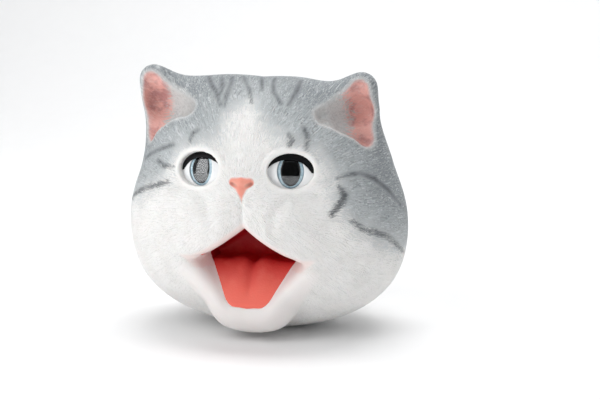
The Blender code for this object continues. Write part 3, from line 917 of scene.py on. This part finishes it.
white, blue, clear = eye_white_material(), iris_material(), cornea_material()
pupil_black, liner_black = pupil_material(), liner_material()
washer = washer_material()
seat = (IRIS_WIDE + 0.15, IRIS_TALL + 0.15)         # of the pocket in the eye white
brink = (seat[0] + 0.15, seat[1] + 0.12)
full, shoulder = (EYE_WIDE, EYE_TALL), (EYE_WIDE - 0.4, EYE_TALL - 0.4)
iris, iris_top = (IRIS_WIDE, IRIS_TALL), (IRIS_WIDE - 0.2, IRIS_TALL - 0.2)
iris_hole = (PUPIL_WIDE - 0.6, PUPIL_TALL - 0.6)
pupil, pupil_top = (PUPIL_WIDE, PUPIL_TALL), (PUPIL_WIDE - 0.3, PUPIL_TALL - 0.3)
glass = (IRIS_WIDE + 0.05, IRIS_TALL + 0.05)
for side, label in ((1, "left"), (-1, "right")):
    ball = turned("eye_white_%s_dome" % label, side,
                  [(0.0, 0.0, -2.2, 1), (*seat, -2.2, 1), (*seat, -0.25, 1)]
                  + rings(brink, shoulder, 10, 0.0)
                  + [(EYE_WIDE - 0.1, EYE_TALL - 0.1, -0.15, 1), (*full, -0.6, 1),
                     (*full, -3.3, 0), (*shoulder, -3.5, 0), (4.3, 4.3, -3.5, 0),
                     (4.0, 4.0, -3.8, 0), (4.0, 4.0, -8.6, 0), (3.6, 3.6, -9.0, 0),
                     (0.0, 0.0, -9.0, 0)])
    dress(ball, white, "head", ("eye_white_" + label,))
    disc = turned("iris_%s_disc" % label, side,
                  [(0.0, 0.0, -1.95, 1), (*iris_top, -1.95, 1), (*iris, -1.8, 1)]
                  + rings(iris, iris_hole, 6, -1.0) + [(0.0, 0.0, -1.2, 1)])
    dress(disc, blue, "head", ("iris_" + label,))
    spot = turned("pupil_%s_lens" % label, side,
                  [(0.0, 0.0, -0.82, 1)] + rings((0.6, 0.8), pupil_top, 10, -0.82)
                  + [(*pupil, -0.95, 1), (*pupil, -1.4, 1), (0.0, 0.0, -1.4, 1)])
    dress(spot, pupil_black, "head", ("pupil_" + label,))
    cover = turned("cornea_%s_lens" % label, side,
                   [(0.0, 0.0, -0.05, 1)] + rings((0.7, 0.9), iris_top, 12, -0.05)
                   + [(*glass, -0.2, 1), (*glass, -0.6, 1)]
                   + rings(iris_top, (0.7, 0.9), 6, -0.7) + [(0.0, 0.0, -0.7, 1)])
    dress(cover, clear, "head", ("cornea_" + label,))
    lashes = liner("eyeliner_%s_crescent" % label, side)
    dress(lashes, liner_black, "head", ("eyeliner_" + label,))
    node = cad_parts["eye_washer_" + label]
    node.data.materials.clear()
    node.data.materials.append(washer)


# ---------------------------------------------------------------- studio

STUDIO_MIDDLE = (0.0, -0.02, 0.08)


def around(azimuth, elevation, distance):
    """Place of a light or card round the object, in degrees and metres."""
    a, e = math.radians(azimuth), math.radians(elevation)
    return (STUDIO_MIDDLE[0] + distance * math.sin(a) * math.cos(e),
            STUDIO_MIDDLE[1] - distance * math.cos(a) * math.cos(e),
            STUDIO_MIDDLE[2] + distance * math.sin(e))


def area(name, place, aim, wide, tall, radiance):
    light = bpy.data.lights.new(name, "AREA")
    light.shape = "RECTANGLE"
    light.size, light.size_y = wide, tall
    light.energy = radiance * math.pi * wide * tall
    obj = bpy.data.objects.new(name, light)
    obj.location = place
    obj.rotation_euler = (Vector(aim) - Vector(place)).to_track_quat("-Z", "Y").to_euler()
    obj.visible_camera = False
    bpy.context.scene.collection.objects.link(obj)


def sweep_backdrop():
    """Pale floor that curves up into a wall behind the object."""
    bend, back, height, reach = 0.7, 1.6, 3.2, 9.0
    profile = [(-reach, 0.0), (-1.2, 0.0), (0.0, 0.0)]
    profile += [(back - bend + bend * math.sin(a), bend - bend * math.cos(a))
                for a in np.linspace(0.0, math.pi / 2.0, 17)]
    profile.append((back, height))
    verts = [(x, y, z) for y, z in profile for x in (-reach, reach)]
    faces = [(2 * i, 2 * i + 1, 2 * i + 3, 2 * i + 2) for i in range(len(profile) - 1)]
    mesh = bpy.data.meshes.new("studio_floor")
    mesh.from_pydata(verts, [], faces)
    mesh.shade_smooth()
    obj = bpy.data.objects.new("studio_floor", mesh)
    g = Graph("studio_white")
    speck = g.noise(g.node("ShaderNodeTexCoord", {}, "Object"), 40.0, 2.0)
    g.set(colour=g.mix(speck, (0.93, 0.93, 0.93), (0.95, 0.95, 0.95)), rough=0.9, gloss=0.1)
    obj.data.materials.append(g.material)
    bpy.context.scene.collection.objects.link(obj)


def dark_flag():
    """Black card in front of the face, which keeps the eyes' glass dark and deep. It is
    seen only in reflections."""
    half, low, high, azimuth = 0.42, -0.47, 0.75, 14.0
    mesh = bpy.data.meshes.new("dark_flag")
    mesh.from_pydata([(-half, 0.0, low), (half, 0.0, low), (half, 0.0, high), (-half, 0.0, high)],
                     [], [(0, 1, 2, 3)])
    obj = bpy.data.objects.new("dark_flag", mesh)
    g = Graph("flag_cloth")
    weave = g.noise(g.node("ShaderNodeTexCoord", {}, "Object"), 300.0, 2.0)
    g.set(colour=g.mix(weave, (0.01, 0.01, 0.01), (0.02, 0.02, 0.02)), rough=0.95)
    mesh.materials.append(g.material)
    obj.location = around(azimuth, 18.0, 1.3)
    obj.rotation_euler = (0.0, 0.0, math.radians(azimuth))
    obj.visible_camera = obj.visible_diffuse = obj.visible_shadow = False
    bpy.context.scene.collection.objects.link(obj)


sweep_backdrop()
dark_flag()
area("key_softbox", around(-41.0, 24.0, 1.25), STUDIO_MIDDLE, 0.62, 1.8, 2.35)
area("floor_card", (-0.33, -0.40, 0.012), (-0.33, -0.40, 1.0), 0.55, 0.55, 1.1)
area("top_softbox", (0.1, -0.25, 1.5), STUDIO_MIDDLE, 1.3, 1.3, 1.0)
area("fill_softbox", around(52.0, 20.0, 1.6), STUDIO_MIDDLE, 0.8, 1.2, 0.30)
area("low_softbox", around(34.0, -1.0, 1.7), STUDIO_MIDDLE, 0.5, 0.25, 1.2)
area("backdrop_light", (0.0, 0.5, 2.6), (0.0, 1.4, 0.4), 2.4, 0.8, 6.5)

world = bpy.data.worlds.new("studio_air")
world.use_nodes = True
world.node_tree.nodes["Background"].inputs["Color"].default_value = (0.95, 0.97, 1.0, 1.0)
world.node_tree.nodes["Background"].inputs["Strength"].default_value = 0.27
bpy.context.scene.world = world
bpy.context.scene.view_settings.view_transform = "Standard"

VIEW_AZIMUTH, VIEW_ELEVATION, VIEW_DISTANCE = 14.5, 8.0, 0.55
VIEW_AIM = Vector(to_world((0.0, 0.0, 76.0)))
a, e = math.radians(VIEW_AZIMUTH), math.radians(VIEW_ELEVATION)
back = Vector((math.sin(a) * math.cos(e), -math.cos(a) * math.cos(e), math.sin(e)))
right = Vector((math.cos(a), math.sin(a), 0.0))
turn = Matrix((right, back.cross(right), back)).transposed().to_4x4()
lens = bpy.data.cameras.new("studio_camera")
lens.sensor_width = 36.0
lens.lens = 56.9
lens.shift_x, lens.shift_y = 0.055, -0.0083
lens.clip_start = 0.01
camera = bpy.data.objects.new("studio_camera", lens)
camera.matrix_world = Matrix.Translation(VIEW_AIM + back * VIEW_DISTANCE) @ turn
bpy.context.scene.collection.objects.link(camera)
bpy.context.scene.camera = camera
